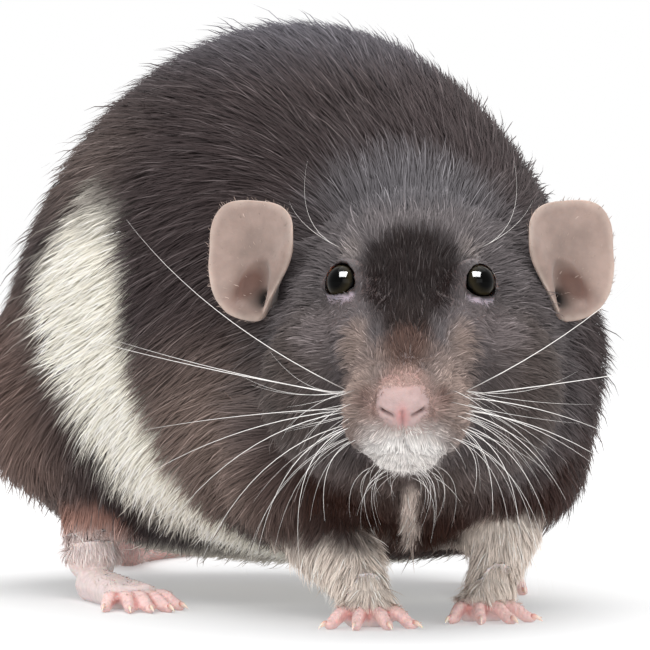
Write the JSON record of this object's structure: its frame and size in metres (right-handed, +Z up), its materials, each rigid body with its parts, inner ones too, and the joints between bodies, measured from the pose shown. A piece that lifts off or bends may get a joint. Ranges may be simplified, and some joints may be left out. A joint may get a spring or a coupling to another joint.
{
  "type": "pet rat",
  "caption": "Life-size adult pet rat with a dark coat and a pale band on its flank, hunched on its feet with the head turned aside, whiskers spread and the tail curled on the floor.",
  "frame": {"origin": "on the floor under the middle of the animal's bounding box", "axes": "-Y ahead along the trunk from rump to chest, +X to the animal's left, +Z up"},
  "size_m": [0.1618, 0.2318, 0.1001],
  "materials": {
    "coat_grey": "short dark grey-brown fur",
    "coat_cream": "short cream fur",
    "skin_pink": "bare pink skin with fine scales and creases",
    "ear_skin": "thin bare skin with a fine down",
    "eye": "wet black gloss"
  },
  "bodies": {
    "root": {"ear_left": "ear_skin", "ear_right": "ear_skin", "eye_left": "eye", "eye_right": "eye", "forearm_left": "coat_cream", "forearm_right": "coat_cream", "forepaw_left": "skin_pink", "forepaw_right": "skin_pink", "head": "coat_grey", "hind_foot_left": "skin_pink", "hind_foot_right": "skin_pink", "muzzle": "coat_grey", "neck": "coat_grey", "shank_left": "coat_cream", "shank_right": "coat_cream", "tail_base": "skin_pink", "tail_end": "skin_pink", "tail_middle": "skin_pink", "tail_tip": "skin_pink", "thigh_left": "coat_grey", "thigh_right": "coat_grey", "torso": "coat_grey", "upper_arm_left": "coat_grey", "upper_arm_right": "coat_grey"}
  },
  "joints": []
}
